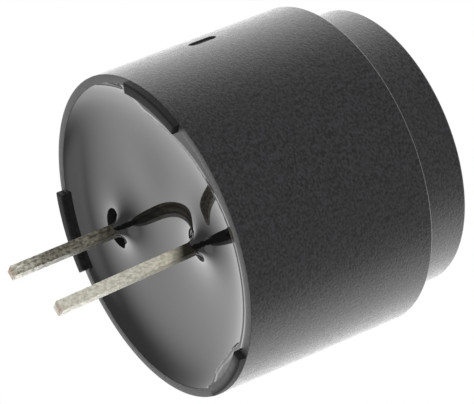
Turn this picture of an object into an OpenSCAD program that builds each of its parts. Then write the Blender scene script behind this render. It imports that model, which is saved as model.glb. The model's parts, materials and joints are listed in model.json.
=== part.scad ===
// Self-driven magnetic buzzer for a circuit board. A stepped round case holds a coil, a ring
// magnet and a steel diaphragm, and is closed at its open end by resin that two square pins
// come out of. Sizes are in millimetres. Z = 0 is the face of the board that the stand-offs
// rest on, Z is the axis of the body and points to the sound port, and the pins point down.

/* [Case] */
// Outside diameter of the body
case_d = 17; // [16:0.1:20]
// Height of the body from its rim to its shoulder
body_h = 11.05; // [10.5:0.05:14]
// Outside diameter of the stepped front
nose_d = 14.75; // [13:0.05:15.5]
// Height of the stepped front above the shoulder
nose_h = 2.95; // [1.5:0.05:5]
// Wall of the body around the magnet system
body_wall = 1.1; // [0.8:0.05:1.4]
// Wall of the open end, which is the width of the rim
rim_wall = 0.45; // [0.35:0.05:0.6]
// Wall of the stepped front
nose_wall = 1; // [0.7:0.05:1.4]
// Thickness of the shoulder between the body and the front
shoulder_t = 1; // [0.7:0.05:1.4]
// Thickness of the front face
front_t = 0.9; // [0.6:0.05:1.2]
// Diameter of the sound port in the front face
port_d = 3; // [2:0.1:5]
// Radius on the outer edges of the shoulder and the front
edge_r = 0.12; // [0.05:0.01:0.3]

/* [Stand-offs] */
// How many stand-offs the rim has
standoff_count = 3; // [2:1:5]
// Height of a stand-off above the rim
standoff_h = 0.39; // [0.2:0.01:0.8]
// Angle that a stand-off takes of the rim, in degrees
standoff_span = 30; // [15:1:45]
// Direction of the first stand-off from the X axis, in degrees
standoff_turn = 55.5; // [0:0.5:119]
// Thickness of a stand-off, which reaches in past the rim
standoff_t = 0.65; // [0.5:0.05:0.9]
// How far a stand-off's foot runs down the wall, past the middle of the resin's face
standoff_sink = 0.1; // [0.05:0.05:0.4]
// How far a stand-off's flanks lean in from its foot to its face
standoff_taper = 0.04; // [0.01:0.01:0.14]

/* [Gate mark] */
// Length of the moulding mark along the body
gate_l = 1.5; // [1:0.05:2]
// Width of the moulding mark around the body
gate_w = 0.65; // [0.4:0.05:0.9]
// Depth of the moulding mark
gate_depth = 0.1; // [0.05:0.01:0.2]
// Height of the moulding mark above the rim
gate_rise = 5.4; // [2:0.1:8]
// Direction of the moulding mark from the X axis, in degrees
gate_turn = -90; // [-180:1:180]

/* [Pins] */
// Distance between the pins' centres
pin_pitch = 7.5; // [6.5:0.1:9]
// Side of a pin's square section
pin_w = 0.6; // [0.4:0.02:0.8]
// Reach of the positive pin below the board's face
positive_reach = 7.6; // [3:0.1:12]
// Reach of the negative pin below the board's face
negative_reach = 5.85; // [3:0.05:12]
// Turn of the pins' flats from the X axis, in degrees
pin_turn = -37; // [-45:1:45]
// Sideways lean of the positive pin, in degrees
positive_lean = 1.7; // [0:0.1:3]
// Sideways lean of the negative pin, in degrees
negative_lean = 0.6; // [0:0.1:3]
// How far the row of pins sits to the side of the axis
pin_shift = 0.1; // [-0.3:0.05:0.3]
// Play between a pin's corners and its hole in the board
pin_play = 0.06; // [0.05:0.01:0.1]
// How far a pin stops below the top of the board
pin_back = 0.1; // [0.05:0.01:0.3]

/* [Resin] */
// How far the middle of the resin lies inside the rim
resin_recess = 0.7; // [0.65:0.05:1]
// Depth of the resin between its face and the circuit board
resin_h = 1.75; // [1.6:0.05:3]
// Size of the hollow fillet that the resin makes against the wall
meniscus = 0.6; // [0.1:0.05:0.6]

/* [Circuit board] */
// Thickness of the circuit board
board_t = 0.8; // [0.6:0.1:1.2]
// Gap between the circuit board and the wall around it
board_gap = 0.1; // [0.05:0.01:0.2]
// Radius of a pin's solder on the board
pin_solder_r = 0.85; // [0.7:0.05:1]
// Height of a pin's solder
pin_solder_h = 0.6; // [0.3:0.05:1]
// Radius of a lead wire's solder on the board
wire_solder_r = 0.4; // [0.3:0.02:0.42]
// Height of a lead wire's solder, and of its tail below the board
wire_solder_h = 0.3; // [0.2:0.05:0.6]
// Thickness that solder tapers to along a pin or a wire
solder_lip = 0.05; // [0.03:0.01:0.08]

/* [Components on the board] */
// Distance of the transistor's middle from the edge of the board
transistor_inset = 3.95; // [3:0.05:5]
// Distance of the resistor's and the diode's middles from the edge of the board
chip_inset = 2.3; // [2:0.05:3]
// Angle of the resistor and the diode to either side of the transistor, in degrees
chip_turn = 45; // [35:1:55]
// Length of the transistor's body
transistor_l = 2.9; // [2.4:0.1:3.2]
// Width of the transistor's body
transistor_w = 1.3; // [1:0.1:1.6]
// Height of the transistor's body
transistor_h = 1; // [0.6:0.1:1.4]
// Spacing of the two legs on one side of the transistor
transistor_leg_pitch = 1.9; // [1.3:0.1:1.9]
// Length of the resistor's body
resistor_l = 1; // [0.8:0.05:1.6]
// Width of the resistor's body
resistor_w = 0.8; // [0.5:0.05:1.2]
// Height of the resistor's body
resistor_h = 0.45; // [0.3:0.05:0.8]
// Length of the diode's body
diode_l = 1.7; // [1.2:0.05:2]
// Width of the diode's body
diode_w = 1.25; // [0.8:0.05:1.6]
// Height of the diode's body
diode_h = 0.9; // [0.6:0.05:1.3]
// Length of a transistor or diode leg beside its body
leg_l = 0.5; // [0.3:0.05:0.7]
// Width of a transistor or diode leg
leg_w = 0.4; // [0.3:0.05:0.5]
// Thickness of a transistor or diode leg
leg_t = 0.15; // [0.1:0.01:0.25]
// Length of a metal cap on the end of the resistor
cap_l = 0.3; // [0.2:0.05:0.5]

/* [Coil] */
// Diameter of the pole core
core_d = 2.4; // [2:0.1:2.8]
// Gap between the pole core and the diaphragm
air_gap = 0.3; // [0.2:0.05:0.6]
// How far the pole core stands above the bobbin
core_proud = 0.5; // [0.3:0.05:1]
// Wall of the bobbin's tube
tube_wall = 0.4; // [0.3:0.05:0.5]
// Thickness of the bobbin's flanges
flange_t = 0.35; // [0.25:0.05:0.5]
// How far the flanges stand out past the windings
flange_lip = 0.5; // [0.4:0.05:0.8]
// Share that the windings take of the room which they and the magnet have
winding_share = 0.51; // [0.4:0.01:0.65]
// Depth of the feedback winding on top of the drive winding
feedback_depth = 0.3; // [0.2:0.05:0.6]
// Diameter of the coil's lead wires
wire_d = 0.2; // [0.1:0.02:0.26]
// Angle between neighbouring lead wires, in degrees
wire_step = 18; // [14:1:24]
// How far a lead wire reaches up beside the windings
wire_rise = 0.8; // [0.4:0.1:1.2]
// Play around a lead wire in the holes that it passes through
wire_play = 0.15; // [0.05:0.01:0.2]

/* [Magnet system] */
// Thickness of the yoke plate
yoke_t = 0.8; // [0.6:0.1:1.2]
// Gap between the bobbin and the magnet
coil_gap = 0.3; // [0.2:0.05:0.5]
// How far the magnet's top lies below the diaphragm
magnet_drop = 1.2; // [0.6:0.1:2]
// Wall of the support ring around the magnet
ring_wall = 1.05; // [0.8:0.05:1.2]
// Wall of the support ring around the diaphragm
ring_lip = 0.45; // [0.3:0.05:0.6]
// Depth that the diaphragm lies at in the support ring
ring_recess = 1.8; // [1:0.1:2.2]
// Thickness of the diaphragm
diaphragm_t = 0.1; // [0.05:0.01:0.2]
// Diameter of the armature disc on the diaphragm
armature_d = 5.2; // [3:0.1:8]
// Thickness of the armature disc
armature_t = 0.4; // [0.2:0.05:0.8]
// Radial gap of a piece that slips into another
slip = 0.05; // [0.02:0.01:0.1]

/* [Hidden] */
$fn = 96;

// Heights, from the board's face up
rim_z = standoff_h;
resin_z = rim_z + resin_recess;
board_z = resin_z + resin_h;
ledge_z = board_z + board_t;
deck_z = ledge_z + yoke_t;
shoulder_z = rim_z + body_h;
step_z = shoulder_z - shoulder_t;
front_z = shoulder_z + nose_h;
ceiling_z = front_z - front_t;
diaphragm_z = step_z - ring_recess;
core_top_z = diaphragm_z - air_gap;
bobbin_top_z = core_top_z - core_proud;
magnet_top_z = diaphragm_z - magnet_drop;

// Radii, from the wall in and from the core out
case_r = case_d / 2;
nose_r = nose_d / 2;
rim_r = case_r - rim_wall;
bore_r = case_r - body_wall;
cavity_r = nose_r - nose_wall;
board_r = rim_r - board_gap;
ring_r = bore_r - slip;
ring_bore_r = ring_r - ring_wall;
diaphragm_seat_r = ring_r - ring_lip;
magnet_r = ring_bore_r - slip;
core_r = core_d / 2;
tube_bore_r = core_r + slip;
tube_r = tube_bore_r + tube_wall;
winding_room = magnet_r - coil_gap - flange_lip - tube_r;
feedback_r = tube_r + winding_share * winding_room;
drive_r = feedback_r - feedback_depth;
flange_r = feedback_r + flange_lip;
magnet_bore_r = flange_r + coil_gap;
wire_r = wire_d / 2;
wire_ring_r = feedback_r + wire_r;
wire_hole_r = wire_r + wire_play;
pin_corner_r = norm([pin_w / 2, pin_w / 2]);
pin_hole_r = pin_corner_r + pin_play;

// Directions of the lead wires, on the side of the board that has no components
wire_turns = [90 - wire_step, 90, 90 + wire_step];

// Places of the components, along the edge of the board
transistor_at = (board_r - transistor_inset) * [0, -1];
resistor_at = (board_r - chip_inset) * [-sin(chip_turn), -cos(chip_turn)];
diode_at = (board_r - chip_inset) * [sin(chip_turn), -cos(chip_turn)];

// How far a cut runs past the face it opens, and a stand-off's root runs into the rim
over = 0.2;
root_inset = 0.02;

// A flat washer, or a disc where its hole is zero
module washer(r_out, r_in, z_low, z_high) {
    translate([0, 0, z_low])
        linear_extrude(z_high - z_low)
            difference() {
                circle(r_out);
                if (r_in > 0) circle(r_in);
            }
}

// Half section of a solid round block with a rounded top edge
module rounded_section(r, h, edge) {
    square([r - edge, h]);
    square([r, h - edge]);
    translate([r - edge, h - edge]) circle(edge);
}

// A block on the underside of the board, centred at a place
module under_board(place, size) {
    translate([place[0] - size[0] / 2, place[1] - size[1] / 2, board_z - size[2]])
        cube(size);
}

// Repeats what follows at each lead wire
module at_wires() {
    for (turn = wire_turns)
        rotate([0, 0, turn])
            translate([wire_ring_r, 0, 0])
                children();
}

// Repeats what follows at each pin's hole
module at_pins() {
    for (side = [-1, 1])
        translate([side * pin_pitch / 2, pin_shift, 0])
            children();
}

module case_section() {
    difference() {
        translate([0, rim_z]) {
            rounded_section(case_r, body_h, edge_r);
            rounded_section(nose_r, body_h + nose_h, edge_r);
        }
        polygon([
            [-over, rim_z - over], [rim_r, rim_z - over], [rim_r, ledge_z], [bore_r, ledge_z],
            [bore_r, step_z], [cavity_r, step_z], [cavity_r, ceiling_z], [port_d / 2, ceiling_z],
            [port_d / 2, front_z + over], [-over, front_z + over]
        ]);
    }
}

module standoffs() {
    foot_in = case_r - standoff_t;
    foot_out = case_r - root_inset;
    foot_z = resin_z + standoff_sink;
    for (i = [0 : standoff_count - 1])
        rotate([0, 0, standoff_turn + i * 360 / standoff_count - standoff_span / 2])
            rotate_extrude(angle = standoff_span)
                polygon([
                    [foot_in, foot_z], [foot_in, rim_z], [foot_in + standoff_taper, 0],
                    [foot_out - standoff_taper, 0], [foot_out, rim_z], [foot_out, rim_z + over],
                    [rim_r + over, rim_z + over], [rim_r + over, foot_z]
                ]);
}

// The moulding mark is a shallow slot with round ends, sunk into the wall
module gate_mark() {
    rotate([0, 0, gate_turn])
        translate([case_r - gate_depth, 0, rim_z + gate_rise])
            rotate([0, 90, 0])
                linear_extrude(gate_depth + over) {
                    square([gate_l - gate_w, gate_w], center = true);
                    for (end = [-1, 1])
                        translate([end * (gate_l - gate_w) / 2, 0]) circle(gate_w / 2);
                }
}

module case() {
    color("#1d1d20")
        difference() {
            union() {
                rotate_extrude() case_section();
                standoffs();
            }
            gate_mark();
        }
}

// What the resin closes around
module embedded_pieces() {
    positive_pin();
    negative_pin();
    pin_solder();
    drive_transistor();
    transistor_legs();
    resistor_block();
    flyback_diode();
    diode_legs();
    coil_leads();
    lead_solder();
}

module potting_resin() {
    fillet_r = rim_r - meniscus;
    fillet_z = resin_z - meniscus;
    color("#0b0b0d")
        difference() {
            rotate_extrude()
                difference() {
                    union() {
                        translate([0, resin_z]) square([rim_r, resin_h]);
                        translate([fillet_r, fillet_z]) square([meniscus, meniscus + over]);
                    }
                    translate([fillet_r, fillet_z]) circle(meniscus);
                }
            standoffs();
            embedded_pieces();
        }
}

// A square pin that leans about the underside of the board
module pin(side, reach, lean) {
    foot = (board_z + reach) / cos(lean);
    translate([side * pin_pitch / 2, pin_shift, board_z])
        rotate([lean, 0, 0])
            rotate([0, 0, pin_turn])
                translate([-pin_w / 2, -pin_w / 2, -foot])
                    cube([pin_w, pin_w, foot + board_t - pin_back]);
}

module positive_pin() {
    color("#b9b5a8") pin(1, positive_reach, positive_lean);
}

module negative_pin() {
    color("#8f8c80") pin(-1, negative_reach, negative_lean);
}

module circuit_board() {
    color("#8a6a3c")
        difference() {
            washer(board_r, 0, board_z, ledge_z);
            translate([0, 0, board_z - over]) {
                at_pins() cylinder(r = pin_hole_r, h = board_t + 2 * over);
                at_wires() cylinder(r = wire_hole_r, h = board_t + 2 * over);
            }
        }
}

module pin_solder() {
    color("#a9abad")
        difference() {
            translate([0, 0, board_z - pin_solder_h])
                at_pins()
                    cylinder(r1 = pin_corner_r + solder_lip, r2 = pin_solder_r, h = pin_solder_h);
            positive_pin();
            negative_pin();
        }
}

module drive_transistor() {
    color("#26262a") under_board(transistor_at, [transistor_l, transistor_w, transistor_h]);
}

// One leg on one long side of the transistor, two on the other
module transistor_legs() {
    reach = (transistor_w + leg_l) / 2;
    half = transistor_leg_pitch / 2;
    places = [[0, reach], [-half, -reach], [half, -reach]];
    color("#b5b5b2")
        for (place = places)
            under_board(transistor_at + place, [leg_w, leg_l, leg_t]);
}

// The resistor's body together with its caps
module resistor_block() {
    under_board(resistor_at, [resistor_l + 2 * cap_l, resistor_w, resistor_h]);
}

module base_resistor() {
    color("#e4e2da") under_board(resistor_at, [resistor_l, resistor_w, resistor_h]);
}

module resistor_caps() {
    reach = (resistor_l + cap_l) / 2;
    color("#b5b5b2")
        for (side = [-1, 1])
            under_board(resistor_at + [side * reach, 0], [cap_l, resistor_w, resistor_h]);
}

module flyback_diode() {
    color("#26262a") under_board(diode_at, [diode_l, diode_w, diode_h]);
}

module diode_legs() {
    reach = (diode_l + leg_l) / 2;
    color("#b5b5b2")
        for (side = [-1, 1])
            under_board(diode_at + [side * reach, 0], [leg_l, leg_w, leg_t]);
}

module coil_leads() {
    low = board_z - wire_solder_h;
    high = deck_z + flange_t + wire_rise;
    color("#b06a34")
        translate([0, 0, low])
            at_wires() cylinder(r = wire_r, h = high - low);
}

module lead_solder() {
    color("#a9abad")
        translate([0, 0, board_z - wire_solder_h])
            at_wires()
                difference() {
                    cylinder(r1 = wire_r + solder_lip, r2 = wire_solder_r, h = wire_solder_h);
                    translate([0, 0, -over]) cylinder(r = wire_r, h = wire_solder_h + 2 * over);
                }
}

module yoke_plate() {
    color("#8d9094")
        difference() {
            washer(ring_r, core_r, ledge_z, deck_z);
            translate([0, 0, ledge_z - over])
                at_wires() cylinder(r = wire_hole_r, h = yoke_t + 2 * over);
        }
}

module pole_core() {
    color("#9a9da1") washer(core_r, 0, ledge_z, core_top_z);
}

module coil_bobbin() {
    color("#d9d4c4")
        difference() {
            union() {
                washer(tube_r, tube_bore_r, deck_z, bobbin_top_z);
                washer(flange_r, tube_bore_r, deck_z, deck_z + flange_t);
                washer(flange_r, tube_bore_r, bobbin_top_z - flange_t, bobbin_top_z);
            }
            translate([0, 0, deck_z - over])
                at_wires() cylinder(r = wire_hole_r, h = flange_t + 2 * over);
        }
}

module drive_coil() {
    color("#b4622d") washer(drive_r, tube_r, deck_z + flange_t, bobbin_top_z - flange_t);
}

module feedback_coil() {
    color("#c9803e") washer(feedback_r, drive_r, deck_z + flange_t, bobbin_top_z - flange_t);
}

module ring_magnet() {
    color("#3c3c40") washer(magnet_r, magnet_bore_r, deck_z, magnet_top_z);
}

module support_ring() {
    color("#e8e6df")
        difference() {
            washer(ring_r, ring_bore_r, deck_z, step_z);
            washer(diaphragm_seat_r, 0, diaphragm_z, step_z + over);
        }
}

module diaphragm() {
    color("#a3a6aa") washer(diaphragm_seat_r - slip, 0, diaphragm_z, diaphragm_z + diaphragm_t);
}

module armature_disc() {
    top_z = diaphragm_z + diaphragm_t;
    color("#7f8286") washer(armature_d / 2, 0, top_z, top_z + armature_t);
}

case();
potting_resin();
positive_pin();
negative_pin();
circuit_board();
pin_solder();
drive_transistor();
transistor_legs();
base_resistor();
resistor_caps();
flyback_diode();
diode_legs();
coil_leads();
lead_solder();
yoke_plate();
pole_core();
coil_bobbin();
drive_coil();
feedback_coil();
ring_magnet();
support_ring();
diaphragm();
armature_disc();
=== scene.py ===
import json
import math

import bmesh
import bpy
from mathutils import Matrix, Vector


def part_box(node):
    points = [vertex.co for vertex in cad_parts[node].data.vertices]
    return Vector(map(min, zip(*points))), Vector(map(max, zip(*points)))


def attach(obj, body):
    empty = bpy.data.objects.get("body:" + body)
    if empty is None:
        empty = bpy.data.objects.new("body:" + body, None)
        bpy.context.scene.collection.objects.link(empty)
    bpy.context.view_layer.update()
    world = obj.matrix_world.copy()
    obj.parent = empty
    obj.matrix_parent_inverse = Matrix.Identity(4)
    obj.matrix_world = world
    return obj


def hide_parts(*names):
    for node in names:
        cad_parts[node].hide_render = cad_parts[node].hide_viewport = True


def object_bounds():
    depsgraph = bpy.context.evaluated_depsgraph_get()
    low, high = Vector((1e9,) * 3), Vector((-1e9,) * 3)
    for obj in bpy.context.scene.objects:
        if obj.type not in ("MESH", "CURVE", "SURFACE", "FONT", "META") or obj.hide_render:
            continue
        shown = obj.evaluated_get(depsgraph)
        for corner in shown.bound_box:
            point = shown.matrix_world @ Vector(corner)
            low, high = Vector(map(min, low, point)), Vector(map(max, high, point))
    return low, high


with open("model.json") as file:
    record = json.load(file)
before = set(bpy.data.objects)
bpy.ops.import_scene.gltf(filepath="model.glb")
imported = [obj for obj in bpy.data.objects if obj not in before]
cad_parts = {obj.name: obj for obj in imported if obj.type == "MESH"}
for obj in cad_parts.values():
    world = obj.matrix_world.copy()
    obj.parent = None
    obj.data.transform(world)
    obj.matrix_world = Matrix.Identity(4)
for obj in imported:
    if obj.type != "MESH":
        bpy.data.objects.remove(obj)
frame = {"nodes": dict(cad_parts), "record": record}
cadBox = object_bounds()
mm = 0.001
nearly = 0.001      # millimetres by which two measures may differ and still count as equal
weld = 0.00001      # millimetres within which two vertices become one
sharpAngle = 35     # degrees of bend past which an edge is shaded as sharp
scene = bpy.context.scene
scene.view_settings.view_transform = "Standard"
print("frame loaded with", len(frame["nodes"]), "nodes")

caseLow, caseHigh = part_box("case")


# Mesh helpers, all in millimetres in the part's own frame

def wireLoop(bm, points):
    verts = [bm.verts.new((r, 0, z)) for r, z in points]
    for first, second in zip(verts, verts[1:] + verts[:1]):
        bm.edges.new((first, second))
    return verts


def roundCorners(bm, verts, radius, segments):
    bmesh.ops.bevel(bm, geom=verts, offset=radius, offset_type="OFFSET", affect="VERTICES",
                    segments=segments, profile=0.5, material=-1)


def spinRound(bm, steps):
    bmesh.ops.spin(bm, geom=bm.verts[:] + bm.edges[:], cent=(0, 0, 0), axis=(0, 0, 1), dvec=(0, 0, 0),
                   angle=math.tau, steps=steps, use_merge=True, use_duplicate=False)
    bmesh.ops.remove_doubles(bm, verts=bm.verts[:], dist=weld)
    bmesh.ops.recalc_face_normals(bm, faces=bm.faces[:])


def turnOf(point):
    return math.degrees(math.atan2(point.y, point.x))


def turnBetween(a, b):
    return abs((a - b + 180) % 360 - 180)


def smoothStep(value):
    t = min(1.0, max(0.0, value))
    return t * t * (3 - 2 * t)


def addPiece(name, bm, finishes, node):
    bmesh.ops.scale(bm, verts=bm.verts[:], vec=(mm, mm, mm))
    mesh = bpy.data.meshes.new(name)
    bm.to_mesh(mesh)
    bm.free()
    mesh.shade_smooth()
    mesh.set_sharp_from_angle(angle=math.radians(sharpAngle))
    for finish in finishes:
        mesh.materials.append(finish)
    piece = bpy.data.objects.new(name, mesh)
    scene.collection.objects.link(piece)
    weighted = piece.modifiers.new("evenShading", "WEIGHTED_NORMAL")
    weighted.keep_sharp = True
    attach(piece, "root")
    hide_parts(node)
    print(name, "has", len(mesh.polygons), "faces")


# Node helpers

def addNode(tree, kind, **settings):
    node = tree.nodes.new(kind)
    for key, value in settings.items():
        if key in node.inputs:
            node.inputs[key].default_value = value
        else:
            setattr(node, key, value)
    return node


def makeGroup(name, inputs, outputs):
    group = bpy.data.node_groups.new(name, "ShaderNodeTree")
    for label, kind, value in inputs:
        socket = group.interface.new_socket(label, in_out="INPUT", socket_type=kind)
        if value is not None:
            socket.default_value = value
    for label, kind in outputs:
        group.interface.new_socket(label, in_out="OUTPUT", socket_type=kind)
    return group, group.nodes.new("NodeGroupInput"), group.nodes.new("NodeGroupOutput")


def useGroup(tree, group, vector, **values):
    node = tree.nodes.new("ShaderNodeGroup")
    node.node_tree = group
    tree.links.new(vector, node.inputs["Vector"])
    for key, value in values.items():
        node.inputs[key].default_value = value
    return node


def newMaterial(name):
    material = bpy.data.materials.new(name)
    material.use_nodes = True
    tree = material.node_tree
    shader = tree.nodes["Principled BSDF"]
    place = tree.nodes.new("ShaderNodeTexCoord").outputs["Object"]
    return material, tree, shader, place


def mixColours(tree, factor, first, second, blend="MIX"):
    mix = addNode(tree, "ShaderNodeMix", data_type="RGBA", blend_type=blend)
    for index, colour in ((6, first), (7, second)):     # a mix node's two colours
        if isinstance(colour, tuple):
            mix.inputs[index].default_value = (*colour, 1)
        else:
            tree.links.new(colour, mix.inputs[index])
    tree.links.new(factor, mix.inputs[0])
    return mix.outputs[2]


def mapValue(tree, value, low, high, newLow, newHigh):
    node = addNode(tree, "ShaderNodeMapRange")
    for index, number in enumerate((low, high, newLow, newHigh), start=1):
        node.inputs[index].default_value = number
    tree.links.new(value, node.inputs[0])
    return node.outputs[0]


def combine(tree, operation, first, second):
    node = addNode(tree, "ShaderNodeMath", operation=operation)
    for socket, value in zip(node.inputs, (first, second)):
        if isinstance(value, float):
            socket.default_value = value
        else:
            tree.links.new(value, socket)
    return node.outputs[0]


def alongAxis(tree, vector, axis):
    node = addNode(tree, "ShaderNodeVectorMath", operation="DOT_PRODUCT")
    tree.links.new(vector, node.inputs[0])
    node.inputs[1].default_value = axis
    return node.outputs["Value"]


# Blotches with finer ones among them, for colour and gloss that vary over a surface

mottleNoise = {"detail": 4.0, "roughness": 0.6, "mean": 0.5}


def makeMottle(noise):
    group, start, end = makeGroup(
        "mottle",
        [("Vector", "NodeSocketVector", None), ("Size", "NodeSocketFloat", 1000.0),
         ("Contrast", "NodeSocketFloat", 1.0)],
        [("Mask", "NodeSocketFloat")])
    blotches = addNode(group, "ShaderNodeTexNoise", Detail=noise["detail"], Roughness=noise["roughness"])
    group.links.new(start.outputs["Vector"], blotches.inputs["Vector"])
    group.links.new(start.outputs["Size"], blotches.inputs["Scale"])
    spread = addNode(group, "ShaderNodeMath", operation="MULTIPLY_ADD", use_clamp=True)
    group.links.new(combine(group, "SUBTRACT", blotches.outputs["Fac"], noise["mean"]), spread.inputs[0])
    group.links.new(start.outputs["Contrast"], spread.inputs[1])
    spread.inputs[2].default_value = noise["mean"]
    group.links.new(spread.outputs[0], end.inputs["Mask"])
    return group


# Rare round specks, for dust on the plastic and bits in the resin

def makeSpecks():
    group, start, end = makeGroup(
        "specks",
        [("Vector", "NodeSocketVector", None), ("Size", "NodeSocketFloat", 900.0),
         ("Reach", "NodeSocketFloat", 0.1), ("Rarity", "NodeSocketFloat", 0.9)],
        [("Mask", "NodeSocketFloat")])
    cells = addNode(group, "ShaderNodeTexVoronoi")
    group.links.new(start.outputs["Vector"], cells.inputs["Vector"])
    group.links.new(start.outputs["Size"], cells.inputs["Scale"])
    near = combine(group, "LESS_THAN", cells.outputs["Distance"], start.outputs["Reach"])
    parts = addNode(group, "ShaderNodeSeparateColor")
    group.links.new(cells.outputs["Color"], parts.inputs[0])
    chosen = combine(group, "GREATER_THAN", parts.outputs[0], start.outputs["Rarity"])
    group.links.new(combine(group, "MULTIPLY", near, chosen), end.inputs["Mask"])
    return group


mottle = makeMottle(mottleNoise)
specks = makeSpecks()


# Black moulded plastic of the case, with a fine grain and a little dust, and its paler scuffed rim

plasticFinish = {
    "dark": (0.004, 0.004, 0.0044),
    "light": (0.0262, 0.0251, 0.0286),
    "grainSize": 6000.0,
    "grainStretch": (1.0, 1.0, 1.3),
    "contrast": 4.0,
    "gloss": (0.2, 0.32),
}
rimFinish = {
    "dark": (0.03, 0.03, 0.031),
    "light": (0.095, 0.095, 0.097),
    "grainSize": 3600.0,
    "grainStretch": (1.0, 1.0, 1.0),
    "contrast": 2.2,
    "gloss": (0.42, 0.55),
}
plasticWear = {
    "dust": (0.2, 0.2, 0.2),
    "dustSize": 900.0,
    "dustReach": 0.05,
    "dustRarity": 0.93,
    "blotchSize": 3600.0,
    "blotchContrast": 2.2,
    "grainHeight": 0.000012,
    "grainStrength": 0.4,
    "specular": 0.4,
}


def makePlastic(name, look, wear):
    material, tree, shader, place = newMaterial(name)
    stretch = addNode(tree, "ShaderNodeMapping", Scale=look["grainStretch"])
    tree.links.new(place, stretch.inputs["Vector"])
    streaks = stretch.outputs["Vector"]
    blotch = useGroup(tree, mottle, place, Size=wear["blotchSize"], Contrast=wear["blotchContrast"])
    fine = useGroup(tree, mottle, streaks, Size=look["grainSize"], Contrast=look["contrast"])
    dust = useGroup(tree, specks, place, Size=wear["dustSize"], Reach=wear["dustReach"],
                    Rarity=wear["dustRarity"])
    colour = mixColours(tree, fine.outputs["Mask"], look["dark"], look["light"])
    colour = mixColours(tree, dust.outputs["Mask"], colour, wear["dust"])
    tree.links.new(colour, shader.inputs["Base Color"])
    tree.links.new(mapValue(tree, blotch.outputs["Mask"], 0, 1, *look["gloss"]), shader.inputs["Roughness"])
    shader.inputs["Specular IOR Level"].default_value = wear["specular"]
    bump = addNode(tree, "ShaderNodeBump", Strength=wear["grainStrength"], Distance=wear["grainHeight"])
    tree.links.new(fine.outputs["Mask"], bump.inputs["Height"])
    tree.links.new(bump.outputs["Normal"], shader.inputs["Normal"])
    return material


# Unscuffed plastic of the stand-offs and of the sunk mark, deeper black than the rim, with a resin film on
# one stand-off whose sheen is painted on as a pale colour

standoffFinish = {
    "dark": (0.008, 0.008, 0.0083),
    "light": (0.02, 0.02, 0.0205),
    "gloss": (0.5, 0.65),
    "specular": 0.12,
    "blotchSize": 4200.0,
    "contrast": 2.0,
    "paintedSheenFilm": (0.16, 0.16, 0.163),    # resin smeared over the inner side of one stand-off, painted pale: a painted sheen, as the resin itself is black
    "paintedSheenFilmSpot": (3.8, 7.15, 0.4),
    "paintedSheenFilmReach": (2.3, 3.0),
    "paintedSheenFilmRadius": (8.15, 8.4),
    "paintedSheenFilmSpread": (0.45, 1.0),
}


def makeStandoffLook(look):
    material, tree, shader, place = newMaterial("standoffPlastic")
    blotch = useGroup(tree, mottle, place, Size=look["blotchSize"], Contrast=look["contrast"])
    away = addNode(tree, "ShaderNodeVectorMath", operation="DISTANCE")
    tree.links.new(place, away.inputs[0])
    away.inputs[1].default_value = [side * mm for side in look["paintedSheenFilmSpot"]]
    level = addNode(tree, "ShaderNodeVectorMath", operation="MULTIPLY")
    tree.links.new(place, level.inputs[0])
    level.inputs[1].default_value = (1, 1, 0)
    radius = addNode(tree, "ShaderNodeVectorMath", operation="LENGTH")
    tree.links.new(level.outputs["Vector"], radius.inputs[0])
    # painted sheen: the pale film colour is laid over the inner side of one stand-off
    paintedSheenFilm = mapValue(tree, blotch.outputs["Mask"], 0, 1, *look["paintedSheenFilmSpread"])
    for distance, reach in ((away, "paintedSheenFilmReach"), (radius, "paintedSheenFilmRadius")):
        start, end = look[reach]
        inside = mapValue(tree, distance.outputs["Value"], start * mm, end * mm, 1, 0)
        paintedSheenFilm = combine(tree, "MULTIPLY", paintedSheenFilm, inside)
    colour = mixColours(tree, blotch.outputs["Mask"], look["dark"], look["light"])
    tree.links.new(mixColours(tree, paintedSheenFilm, colour, look["paintedSheenFilm"]), shader.inputs["Base Color"])
    tree.links.new(mapValue(tree, blotch.outputs["Mask"], 0, 1, *look["gloss"]), shader.inputs["Roughness"])
    shader.inputs["Specular IOR Level"].default_value = look["specular"]
    return material


# Glossy potting resin with a few pale specks

resinFinish = {
    "dark": (0.004, 0.004, 0.0045),
    "light": (0.007, 0.007, 0.0075),
    "cloudSize": 500.0,
    "cloudContrast": 1.5,
    "speck": (0.5, 0.5, 0.48),
    "speckSize": 420.0,
    "speckReach": 0.028,
    "speckRarity": 0.88,
    "gloss": (0.02, 0.05),
    "ior": 1.7,
}


def makeResinLook(look):
    material, tree, shader, place = newMaterial("pottingResin")
    cloud = useGroup(tree, mottle, place, Size=look["cloudSize"], Contrast=look["cloudContrast"])
    bits = useGroup(tree, specks, place, Size=look["speckSize"], Reach=look["speckReach"],
                    Rarity=look["speckRarity"])
    colour = mixColours(tree, cloud.outputs["Mask"], look["dark"], look["light"])
    colour = mixColours(tree, bits.outputs["Mask"], colour, look["speck"])
    tree.links.new(colour, shader.inputs["Base Color"])
    tree.links.new(mapValue(tree, cloud.outputs["Mask"], 0, 1, *look["gloss"]), shader.inputs["Roughness"])
    shader.inputs["IOR"].default_value = look["ior"]
    return material


# Painted reflection: dull black patches on the resin by the pins' feet, put where the glossy resin shows
# dark reflections of the pins

paintedDarkReflectionFinish = {
    "dark": (0.004, 0.004, 0.0045),
    "light": (0.007, 0.007, 0.0075),
    "gloss": (0.3, 0.45),
    "specular": 0.02,
    "blotchSize": 3000.0,
    "contrast": 1.5,
}


def makePaintedDarkReflection(look):
    material, tree, shader, place = newMaterial("paintedDarkReflection")
    blotch = useGroup(tree, mottle, place, Size=look["blotchSize"], Contrast=look["contrast"])
    tree.links.new(mixColours(tree, blotch.outputs["Mask"], look["dark"], look["light"]),
                   shader.inputs["Base Color"])
    tree.links.new(mapValue(tree, blotch.outputs["Mask"], 0, 1, *look["gloss"]), shader.inputs["Roughness"])
    shader.inputs["Specular IOR Level"].default_value = look["specular"]
    return material


# Dull tin on the pins: pale on the longer one, darker towards the resin on the shorter one, dark with flux
# at the resin; the longer one is also painted lighter towards the resin, a painted light against the body's
# shade there

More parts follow.
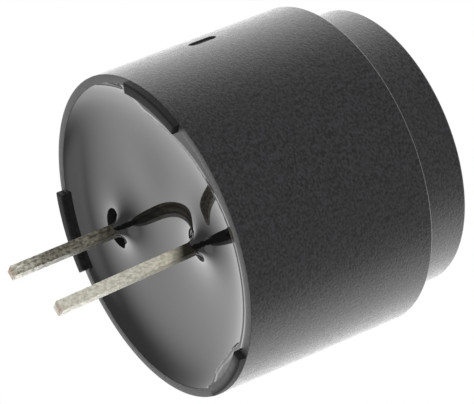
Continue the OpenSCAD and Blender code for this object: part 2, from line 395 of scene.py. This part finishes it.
paleTin = {
    "dark": (0.41, 0.385, 0.32),
    "light": (0.71, 0.69, 0.6),
    # painted light: lighter towards the resin, against the shade that the body casts on the pin
    "tintAndPaintedLight": (1.12, 1.1, 1.04),
    "tintAndPaintedLightReach": (-3.0, -1.2),
    "flux": (0.03, 0.03, 0.025),
    "fluxReach": (-1.0, 0.0),
    "copper": (0.36, 0.19, 0.13),
    "gloss": (0.5, 0.35),
    "metal": 0.2,
    "contrast": 3.2,
}
darkerTin = {
    "dark": (0.2, 0.185, 0.15),
    "light": (0.8, 0.77, 0.66),
    # darker towards the resin
    "tintAndPaintedLight": (0.37, 0.365, 0.345),
    "tintAndPaintedLightReach": (-5.3, -3.6),
    "flux": (0.35, 0.35, 0.33),
    "fluxReach": (-0.9, 0.2),
    "copper": (0.38, 0.26, 0.19),
    "gloss": (0.45, 0.3),
    "metal": 0.25,
    "contrast": 4.0,
}
tinPattern = {
    "slant": (0.9, 0.0, 1.0),
    "streak": (1.0, 1.0, 0.6),
    "blotchSize": 8000.0,
    "patchSize": 1400.0,
    "patchContrast": 6.0,
    "tipDepth": 0.17,
    "ridge": 0.00002,
    "ridgeStrength": 0.3,
}


def makeTin(name, look, pattern, pin):
    material, tree, shader, place = newMaterial(name)
    stretch = addNode(tree, "ShaderNodeMapping", Scale=pattern["streak"])
    tree.links.new(place, stretch.inputs["Vector"])
    blotch = useGroup(tree, mottle, stretch.outputs["Vector"], Size=pattern["blotchSize"],
                      Contrast=look["contrast"])
    patches = useGroup(tree, mottle, place, Size=pattern["patchSize"], Contrast=pattern["patchContrast"])
    along = alongAxis(tree, place, pattern["slant"])
    middle = pin["x"] * pattern["slant"][0]
    colour = mixColours(tree, blotch.outputs["Mask"], look["dark"], look["light"])
    # the first tint is painted light on the longer pin and a darkening on the shorter one
    for shade in ("tintAndPaintedLight", "flux"):
        start, end = look[shade + "Reach"]
        spread = mapValue(tree, along, (start + middle) * mm, (end + middle) * mm, 0, 1)
        colour = mixColours(tree, spread, colour, look[shade], "MULTIPLY")
    height = addNode(tree, "ShaderNodeSeparateXYZ")
    tree.links.new(place, height.inputs[0])
    tip = -pin["reach"]
    cut = mapValue(tree, height.outputs["Z"], tip * mm, (tip + pattern["tipDepth"]) * mm, 1, 0)
    bare = combine(tree, "MULTIPLY", cut, patches.outputs["Mask"])
    colour = mixColours(tree, bare, colour, look["copper"])
    tree.links.new(colour, shader.inputs["Base Color"])
    tree.links.new(mapValue(tree, blotch.outputs["Mask"], 0, 1, *look["gloss"]), shader.inputs["Roughness"])
    shader.inputs["Metallic"].default_value = look["metal"]
    bump = addNode(tree, "ShaderNodeBump", Strength=pattern["ridgeStrength"], Distance=pattern["ridge"])
    tree.links.new(blotch.outputs["Mask"], bump.inputs["Height"])
    tree.links.new(bump.outputs["Normal"], shader.inputs["Normal"])
    return material


# Finishes of the pieces inside: two colours, gloss range, metal or not, blotch size

innerFinishes = {
    "board_laminate": ((0.28, 0.17, 0.07), (0.4, 0.26, 0.11), (0.5, 0.7), 0.0, 2500.0),
    "solder": ((0.45, 0.46, 0.47), (0.62, 0.63, 0.64), (0.2, 0.35), 1.0, 3000.0),
    "chip_plastic": ((0.02, 0.02, 0.022), (0.04, 0.04, 0.042), (0.45, 0.6), 0.0, 5000.0),
    "chip_ceramic": ((0.7, 0.69, 0.65), (0.8, 0.79, 0.75), (0.35, 0.5), 0.0, 4000.0),
    "chip_metal": ((0.42, 0.42, 0.41), (0.58, 0.58, 0.57), (0.25, 0.4), 1.0, 4000.0),
    "copper_wire": ((0.42, 0.15, 0.05), (0.6, 0.26, 0.1), (0.2, 0.35), 1.0, 4500.0),
    "steel": ((0.26, 0.27, 0.28), (0.38, 0.39, 0.4), (0.25, 0.4), 1.0, 1800.0),
    "bobbin_plastic": ((0.62, 0.58, 0.47), (0.75, 0.71, 0.6), (0.4, 0.55), 0.0, 2500.0),
    "ferrite": ((0.035, 0.035, 0.038), (0.07, 0.07, 0.075), (0.5, 0.7), 0.0, 3000.0),
    "ring_plastic": ((0.72, 0.71, 0.67), (0.84, 0.83, 0.8), (0.4, 0.55), 0.0, 2200.0),
}
innerContrast = 1.8


def makeInner(name, look):
    dark, light, gloss, metal, size = look
    material, tree, shader, place = newMaterial(name)
    blotch = useGroup(tree, mottle, place, Size=size, Contrast=innerContrast)
    tree.links.new(mixColours(tree, blotch.outputs["Mask"], dark, light), shader.inputs["Base Color"])
    tree.links.new(mapValue(tree, blotch.outputs["Mask"], 0, 1, *gloss), shader.inputs["Roughness"])
    shader.inputs["Metallic"].default_value = metal
    return material


casePlastic = makePlastic("casePlastic", plasticFinish, plasticWear)
rimPlastic = makePlastic("rimPlastic", rimFinish, plasticWear)
standoffPlastic = makeStandoffLook(standoffFinish)
pottingResin = makeResinLook(resinFinish)
paintedDarkReflection = makePaintedDarkReflection(paintedDarkReflectionFinish)
innerLooks = {slot: makeInner(slot, look) for slot, look in innerFinishes.items()}
for part in frame["record"]["subparts"]:
    if part["material_slot"] in innerLooks:
        holder = frame["nodes"][part["node"]]
        holder.data.materials.clear()
        holder.data.materials.append(innerLooks[part["material_slot"]])
print("materials made:", len(bpy.data.materials))


# Case: one spun shell with three stand-offs and a sunk moulding mark

shell = {
    "radius": (caseHigh.x - caseLow.x) / 2 / mm,
    "front": caseHigh.z / mm,
    "rim": 0.39,
    "rimBore": 8.05,
    "ledge": 3.64,
    "bore": 7.4,
    "innerStep": 10.44,
    "shoulder": 11.44,
    "cavity": 6.375,
    "noseRadius": 7.375,
    "ceiling": 13.49,
    "port": 1.5,
    "edge": 0.12,
    "edgeSegments": 6,
    "hollowSegments": 4,
    "rimEdge": 0.03,
    "rimSegments": 3,
    "markLength": 1.5,
    "markWidth": 0.65,
    "markDepth": 0.1,
    "markRise": 5.4,
    "markTurn": -90,
    "markWall": 0.06,
    "markRings": 14,
    "markCuts": 3,
    "standoffTurns": (55.5, 175.5, 295.5),
    "standoffSpan": 30,
    "standoffMargin": 0.01,
    "standoffEdge": 0.1,
    "standoffBore": 7.85,   # the stand-offs reach in past the rim, down into the resin
    "standoffFoot": 1.2,
    "steps": 480,
}
rimSlot = 1
darkSlot = 2


def buildCase(size):
    bm = bmesh.new()
    markMiddle = size["rim"] + size["markRise"]
    markHalf = size["markLength"] / 2 + size["markWall"]
    profile = wireLoop(bm, [
        (size["rimBore"], size["rim"]), (size["radius"], size["rim"]),
        (size["radius"], markMiddle - markHalf), (size["radius"], markMiddle + markHalf),
        (size["radius"], size["shoulder"]), (size["noseRadius"], size["shoulder"]),
        (size["noseRadius"], size["front"]), (size["port"], size["front"]),
        (size["port"], size["ceiling"]), (size["cavity"], size["ceiling"]),
        (size["cavity"], size["innerStep"]), (size["bore"], size["innerStep"]),
        (size["bore"], size["ledge"]), (size["rimBore"], size["ledge"]),
        (size["rimBore"], size["standoffFoot"] + size["edge"]), (size["rimBore"], size["standoffFoot"]),
    ])
    roundCorners(bm, [profile[0], profile[1]], size["rimEdge"], size["rimSegments"])
    roundCorners(bm, [profile[4], profile[6]], size["edge"], size["edgeSegments"])
    roundCorners(bm, [profile[5], profile[7]], size["edge"] / 2, size["hollowSegments"])
    markSpan = [e for e in profile[2].link_edges if e.other_vert(profile[2]) == profile[3]]
    bmesh.ops.subdivide_edges(bm, edges=markSpan, cuts=size["markRings"])
    spinRound(bm, size["steps"])
    thickenStandoffs(bm, size)
    raiseStandoffs(bm, size)
    sinkMark(bm, size, markMiddle, markHalf)
    return bm


def byStandoff(point, size):
    half = size["standoffSpan"] / 2 + size["standoffMargin"]
    return any(turnBetween(turnOf(point), turn) < half for turn in size["standoffTurns"])


def thickenStandoffs(bm, size):
    inward = size["rimBore"] - size["standoffBore"]
    for vert in bm.verts:
        radius = vert.co.xy.length
        if radius > size["rimBore"] + 2 * size["rimEdge"] or vert.co.z > size["standoffFoot"] + nearly:
            continue
        if byStandoff(vert.co, size):
            vert.co.x *= (radius - inward) / radius
            vert.co.y *= (radius - inward) / radius


def raiseStandoffs(bm, size):
    half = size["standoffSpan"] / 2
    straightDown, mostlyDown = -0.999, -0.5     # limits for the upward part of a face's normal
    sharpBend = 0.5                             # radians
    rimFaces = [(face, turnOf(face.calc_center_median())) for face in bm.faces
                if face.normal.z < straightDown and abs(face.calc_center_median().z - size["rim"]) < nearly]
    for turn in size["standoffTurns"]:
        chosen = [face for face, place in rimFaces if turnBetween(place, turn) < half]
        raised = bmesh.ops.extrude_face_region(bm, geom=chosen)
        bmesh.ops.delete(bm, geom=chosen, context="FACES_ONLY")
        tops = [item for item in raised["geom"] if isinstance(item, bmesh.types.BMVert)]
        bmesh.ops.translate(bm, verts=tops, vec=(0, 0, -size["rim"]))
        border = {edge for vert in tops for edge in vert.link_edges
                  if edge.other_vert(vert).co.z < nearly and edge.calc_face_angle(0) > sharpBend}
        bmesh.ops.bevel(bm, geom=list(border), offset=size["standoffEdge"], offset_type="OFFSET",
                        affect="EDGES", segments=size["edgeSegments"], profile=0.5, material=-1,
                        clamp_overlap=True)
    innerSide = (size["rimBore"] + size["standoffBore"]) / 2
    for face in bm.faces:
        middle = face.calc_center_median()
        level = middle.z
        sunk = level < size["standoffFoot"] and middle.xy.length < innerSide
        if sunk or level < size["rim"] - size["rimEdge"]:
            face.material_index = darkSlot
        elif level < size["rim"] + size["rimEdge"] and face.normal.z < mostlyDown:
            face.material_index = rimSlot


def besideMark(point, size):
    return math.radians(turnBetween(turnOf(point), size["markTurn"])) * size["radius"]


def sinkMark(bm, size, markMiddle, markHalf):
    flat = (size["markLength"] - size["markWidth"]) / 2
    near = []
    for vert in bm.verts:
        onWall = vert.co.xy.length > size["radius"] - nearly
        inSpan = abs(vert.co.z - markMiddle) < markHalf + nearly
        if onWall and inSpan and besideMark(vert.co, size) < size["markWidth"]:
            near.append(vert)
    inside = set(near)
    edges = {edge for vert in near for edge in vert.link_edges if edge.other_vert(vert) in inside}
    bmesh.ops.subdivide_edges(bm, edges=list(edges), cuts=size["markCuts"], use_grid_fill=True)
    for vert in bm.verts:
        if abs(vert.co.z - markMiddle) > markHalf or besideMark(vert.co, size) > size["markWidth"]:
            continue
        radius = vert.co.xy.length
        if radius < size["radius"] - nearly:
            continue
        along = max(0.0, abs(vert.co.z - markMiddle) - flat)
        outside = math.hypot(along, besideMark(vert.co, size)) - size["markWidth"] / 2
        depth = size["markDepth"] * smoothStep(0.5 - outside / size["markWall"])
        vert.co.x *= (size["radius"] - depth) / radius
        vert.co.y *= (size["radius"] - depth) / radius
        if depth > size["markDepth"] / 2:
            for face in vert.link_faces:
                face.material_index = darkSlot


addPiece("case_shell", buildCase(shell), (casePlastic, rimPlastic, standoffPlastic), "case")


# Pins: square bars that lean about the underside of the board

pins = {
    "side": 0.6,
    "turn": -37,
    "pivot": 2.84,
    "head": 0.7,
    "shift": 0.1,
    "edge": 0.045,
    "tipEdge": 0.14,
    "edgeSegments": 3,
    "positive": {"x": 3.75, "reach": 7.6, "lean": 1.7, "node": "positive_pin", "tin": paleTin},
    "negative": {"x": -3.75, "reach": 5.85, "lean": 0.6, "node": "negative_pin", "tin": darkerTin},
}


def buildPin(size, pin):
    bm = bmesh.new()
    lean = math.radians(pin["lean"])
    foot = (size["pivot"] + pin["reach"]) / math.cos(lean)
    bmesh.ops.create_cube(bm, size=1)
    bmesh.ops.scale(bm, verts=bm.verts[:], vec=(size["side"], size["side"], foot + size["head"]))
    bmesh.ops.translate(bm, verts=bm.verts[:], vec=(0, 0, (size["head"] - foot) / 2))
    tipEdges = [e for e in bm.edges if all(v.co.z < 0 for v in e.verts)]
    bmesh.ops.bevel(bm, geom=tipEdges, offset=size["tipEdge"], offset_type="OFFSET", affect="EDGES",
                    segments=size["edgeSegments"], profile=0.5, material=-1)
    longEdges = [e for e in bm.edges if e.calc_length() > foot]
    bmesh.ops.bevel(bm, geom=longEdges, offset=size["edge"], offset_type="OFFSET", affect="EDGES",
                    segments=size["edgeSegments"], profile=0.5, material=-1)
    turn = Matrix.Rotation(lean, 3, "X") @ Matrix.Rotation(math.radians(size["turn"]), 3, "Z")
    bmesh.ops.rotate(bm, verts=bm.verts[:], cent=(0, 0, 0), matrix=turn)
    bmesh.ops.translate(bm, verts=bm.verts[:], vec=(pin["x"], size["shift"], size["pivot"]))
    return bm


for label in ("positive", "negative"):
    pin = pins[label]
    tin = makeTin(label + "Tin", pin["tin"], tinPattern, pin)
    addPiece(label + "_pin_bar", buildPin(pins, pin), (tin,), pin["node"])


# Resin: a poured disc whose hollow face climbs the wall and the pins, with a hardened lip along part of the
# wall and, at each pin, a dull black streak that is a painted dark reflection

pour = {
    "radius": shell["rimBore"],
    "back": pins["pivot"],
    "wallLevel": 0.45,      # where the face meets the wall
    "dish": 0.276,
    "nearClimb": 0.157,
    "nearReach": 0.455,
    "farClimb": 0.514,
    "farReach": 0.936,
    "pinCore": 0.3,
    "tilt": (-0.0019, -0.0112),
    "swell": 0.063,
    "swellSpot": (-0.57, -2.79),
    "swellReach": 2.0,
    "positive": {"climb": 0.4145, "reach": 1.918},
    "negative": {"climb": 0.4502, "reach": 1.705},
    "collar": 0.3,          # a last steep climb right at the pins
    "collarReach": 0.12,
    "lipLevel": 0.41,       # a hardened lip along part of the wall
    "lipSlope": 0.08,
    "lipStep": 0.22,
    "groove": 0.06,         # a fine groove behind the lip's edge
    "grooveReach": 0.1,
    "lipBorder": ((-90, shell["rimBore"]), (-82, 7.3), (-72, 6.86), (-64, 6.83), (-53, 6.88),
                  (-45, 7.05), (-38, 7.17), (-30, 7.28), (-20, 7.45), (-10, 7.56), (40, 7.56), (46, 7.2),
                  (59, 7.08), (66, 7.22), (74, 7.8), (78, shell["rimBore"])),
    # painted reflection: where the dull black patches lie, standing for the pins' dark reflections in the
    # resin
    "paintedDarkReflectionSpots": ((-3.05, -0.12), (4.3, -0.03)),
    "paintedDarkReflectionTurn": -16,
    "paintedDarkReflectionLength": 0.62,
    "paintedDarkReflectionWidth": 0.14,
    "steps": 480,
    "rings": 160,
}
paintedDarkReflectionSlot = 1


def lipRadius(turn, size):
    border = size["lipBorder"]
    for (fromTurn, fromRadius), (toTurn, toRadius) in zip(border, border[1:]):
        if fromTurn <= turn < toTurn:
            return fromRadius + (toRadius - fromRadius) * (turn - fromTurn) / (toTurn - fromTurn)
    return size["radius"]


def resinLevel(x, y, size):
    radius = math.hypot(x, y)
    inward = radius - size["radius"]
    level = size["wallLevel"] + size["dish"] * (1 - (radius / size["radius"]) ** 2)
    level += size["nearClimb"] * (1 - math.exp(inward / size["nearReach"]))
    level += size["farClimb"] * (1 - math.exp(inward / size["farReach"]))
    level += (size["tilt"][0] * x + size["tilt"][1] * y) * (1 - (radius / size["radius"]) ** 4)
    away = math.hypot(x - size["swellSpot"][0], y - size["swellSpot"][1])
    level -= size["swell"] * math.exp(-(away / size["swellReach"]) ** 2)
    for label in ("positive", "negative"):
        gap = max(size["pinCore"], math.hypot(x - pins[label]["x"], y - pins["shift"]))
        level -= size[label]["climb"] / 2 * math.log(1 + (size[label]["reach"] / gap) ** 2)
        level -= size["collar"] * math.exp((size["pinCore"] - gap) / size["collarReach"])
    border = lipRadius(math.degrees(math.atan2(y, x)), size)
    if radius > border:
        past = radius - border - size["lipStep"]
        lip = size["lipLevel"] + size["lipSlope"] * (radius - border)
        lip += size["groove"] * math.exp(-(past / size["grooveReach"]) ** 2)
        inside = min(1.0, 1 + past / size["lipStep"])
        level += (lip - level) * math.sqrt(1 - (1 - inside) ** 2)
    return level


def underPaintedDarkReflection(point, spot, size):
    turn = math.radians(size["paintedDarkReflectionTurn"])
    x, y = point.x - spot[0], point.y - spot[1]
    along = x * math.cos(turn) + y * math.sin(turn)
    across = y * math.cos(turn) - x * math.sin(turn)
    return math.hypot(along / size["paintedDarkReflectionLength"], across / size["paintedDarkReflectionWidth"]) < 1


def buildResin(size):
    bm = bmesh.new()
    middle = bm.verts.new((0, 0, 0))
    border = bm.verts.new((size["radius"], 0, 0))
    bmesh.ops.subdivide_edges(bm, edges=[bm.edges.new((middle, border))], cuts=size["rings"] - 1)
    spinRound(bm, size["steps"])
    for vert in bm.verts:
        radius = vert.co.xy.length
        if radius > shell["standoffBore"] and byStandoff(vert.co, shell):
            vert.co.x *= shell["standoffBore"] / radius
            vert.co.y *= shell["standoffBore"] / radius
        vert.co.z = resinLevel(vert.co.x, vert.co.y, size)
    bmesh.ops.remove_doubles(bm, verts=bm.verts[:], dist=weld)
    rim = [e for e in bm.edges if e.is_boundary]
    wall = bmesh.ops.extrude_edge_only(bm, edges=rim)
    for item in wall["geom"]:
        if isinstance(item, bmesh.types.BMVert):
            item.co.z = size["back"]
    bmesh.ops.holes_fill(bm, edges=[e for e in bm.edges if e.is_boundary], sides=0)
    bmesh.ops.recalc_face_normals(bm, faces=bm.faces[:])
    for face in bm.faces:
        middle = face.calc_center_median()
        # painted reflection: faces under a patch take the dull black finish
        if any(underPaintedDarkReflection(middle, spot, size) for spot in size["paintedDarkReflectionSpots"]):
            face.material_index = paintedDarkReflectionSlot
    return bm


addPiece("resin_pour", buildResin(pour), (pottingResin, paintedDarkReflection), "potting_resin")


# Floor at the level of the pins' tips, seen only from above

floorSize = {"radius": 1.2, "segments": 96, "gap": 0.0001, "colour": (0.82, 0.82, 0.82, 1)}


def makeFloor(size):
    bm = bmesh.new()
    bmesh.ops.create_circle(bm, cap_ends=True, radius=size["radius"], segments=size["segments"])
    bmesh.ops.translate(bm, verts=bm.verts[:], vec=(0, 0, cadBox[0].z - size["gap"]))
    mesh = bpy.data.meshes.new("floor")
    bm.to_mesh(mesh)
    bm.free()
    material = bpy.data.materials.new("paleFloor")
    material.use_nodes = True
    tree = material.node_tree
    tree.nodes.clear()
    paint = addNode(tree, "ShaderNodeBsdfDiffuse", Color=size["colour"])
    clear = addNode(tree, "ShaderNodeBsdfTransparent")
    side = addNode(tree, "ShaderNodeNewGeometry")
    mix = addNode(tree, "ShaderNodeMixShader")
    out = addNode(tree, "ShaderNodeOutputMaterial")
    tree.links.new(side.outputs["Backfacing"], mix.inputs[0])
    tree.links.new(paint.outputs[0], mix.inputs[1])
    tree.links.new(clear.outputs[0], mix.inputs[2])
    tree.links.new(mix.outputs[0], out.inputs["Surface"])
    mesh.materials.append(material)
    floor = bpy.data.objects.new("floor", mesh)
    scene.collection.objects.link(floor)
    floor.visible_glossy = False
    floor.visible_diffuse = False
    floor.visible_transmission = False
    floor.visible_shadow = False


makeFloor(floorSize)
print("floor laid")


# Camera: below the seat, to the side of the positive pin, rolled so that the body lies on its side

view = {
    "aim": (-0.01, -0.032, 5.577),
    "distance": 194.39,
    "turn": -17.25,
    "rise": -28.38,
    "roll": 68.1,
    "lens": 293.5,
    "sensor": 36.0,
    "clip": (0.01, 10),
}


def viewAxes(size):
    turn, rise = math.radians(size["turn"]), math.radians(size["rise"])
    back = Vector((math.cos(turn) * math.cos(rise), math.sin(turn) * math.cos(rise), math.sin(rise)))
    level = (-back).to_track_quat("-Z", "Y").to_matrix()
    return level @ Matrix.Rotation(math.radians(size["roll"]), 3, "Z")


def placeCamera(size, axes):
    data = bpy.data.cameras.new("viewCamera")
    data.lens = size["lens"]
    data.sensor_width = size["sensor"]
    data.clip_start, data.clip_end = size["clip"]
    camera = bpy.data.objects.new("viewCamera", data)
    scene.collection.objects.link(camera)
    place = (Vector(size["aim"]) + axes.col[2] * size["distance"]) * mm
    camera.matrix_world = Matrix.Translation(place) @ axes.to_4x4()
    scene.camera = camera


axes = viewAxes(view)
placeCamera(view, axes)


# Light: a white room that is dim around the camera and bright behind the object, and a soft box by
# the camera

room = {
    "level": 0.5,
    "drift": 0.14,                  # how it grows to the right all round
    "patch": (-0.75, -0.6, 0.28),   # where a pale patch lies: right, up and back
    "patchSpan": (0.85, 0.98),
    "patchLight": 0.65,
    "start": -0.1,                  # how far ahead of the camera the light behind sets in
    "behind": (2.1, -0.6, 3.3),     # how the light behind grows to the right, upwards, and its mean
    "least": 0.3,
    "most": 2.1,
}
softBox = {
    "towards": (0.1, 0.35, 0.93),
    "distance": 0.5,
    "size": 0.3,
    "power": 1.3,
}


def makeRoom(size, axes):
    world = bpy.data.worlds.new("room")
    scene.world = world
    world.use_nodes = True
    tree = world.node_tree
    tree.nodes.clear()
    ray = addNode(tree, "ShaderNodeTexCoord").outputs["Generated"]
    right, up, mean = size["behind"]
    across = alongAxis(tree, ray, axes.col[0] * right + axes.col[1] * up)
    ahead = alongAxis(tree, ray, -axes.col[2])
    sideways = alongAxis(tree, ray, axes.col[0] * size["drift"])
    towards = alongAxis(tree, ray, axes @ Vector(size["patch"]))
    patch = addNode(tree, "ShaderNodeMapRange", interpolation_type="SMOOTHSTEP")
    patch.inputs["From Min"].default_value, patch.inputs["From Max"].default_value = size["patchSpan"]
    patch.inputs["To Min"].default_value = size["level"]
    patch.inputs["To Max"].default_value = size["level"] + size["patchLight"]
    tree.links.new(towards, patch.inputs["Value"])
    base = combine(tree, "ADD", sideways, patch.outputs["Result"])
    facing = addNode(tree, "ShaderNodeMapRange", interpolation_type="SMOOTHSTEP")
    facing.inputs["From Min"].default_value = size["start"]
    tree.links.new(ahead, facing.inputs["Value"])
    glow = combine(tree, "ADD", across, mean)
    total = addNode(tree, "ShaderNodeMath", operation="MULTIPLY_ADD")
    for socket, value in zip(total.inputs, (glow, facing.outputs["Result"], base)):
        tree.links.new(value, socket)
    bounded = addNode(tree, "ShaderNodeClamp", Min=size["least"], Max=size["most"])
    tree.links.new(total.outputs[0], bounded.inputs["Value"])
    path = addNode(tree, "ShaderNodeLightPath")
    strength = addNode(tree, "ShaderNodeMix", data_type="FLOAT")
    tree.links.new(path.outputs["Is Camera Ray"], strength.inputs[0])
    tree.links.new(bounded.outputs[0], strength.inputs[2])
    strength.inputs[3].default_value = 1    # the backdrop that the camera sees is plain white
    sky = addNode(tree, "ShaderNodeBackground", Color=(1, 1, 1, 1))
    tree.links.new(strength.outputs[0], sky.inputs["Strength"])
    out = addNode(tree, "ShaderNodeOutputWorld")
    tree.links.new(sky.outputs[0], out.inputs["Surface"])


def hangSoftBox(size, axes):
    data = bpy.data.lights.new("softBox", "AREA")
    data.shape = "DISK"
    data.size = size["size"]
    data.energy = size["power"]
    lamp = bpy.data.objects.new("softBox", data)
    scene.collection.objects.link(lamp)
    towards = (axes @ Vector(size["towards"])).normalized()
    lamp.matrix_world = (Matrix.Translation(towards * size["distance"])
                         @ towards.to_track_quat("Z", "Y").to_matrix().to_4x4())
    lamp.visible_camera = False
    lamp.visible_glossy = False


makeRoom(room, axes)
hangSoftBox(softBox, axes)
print("camera and light placed")
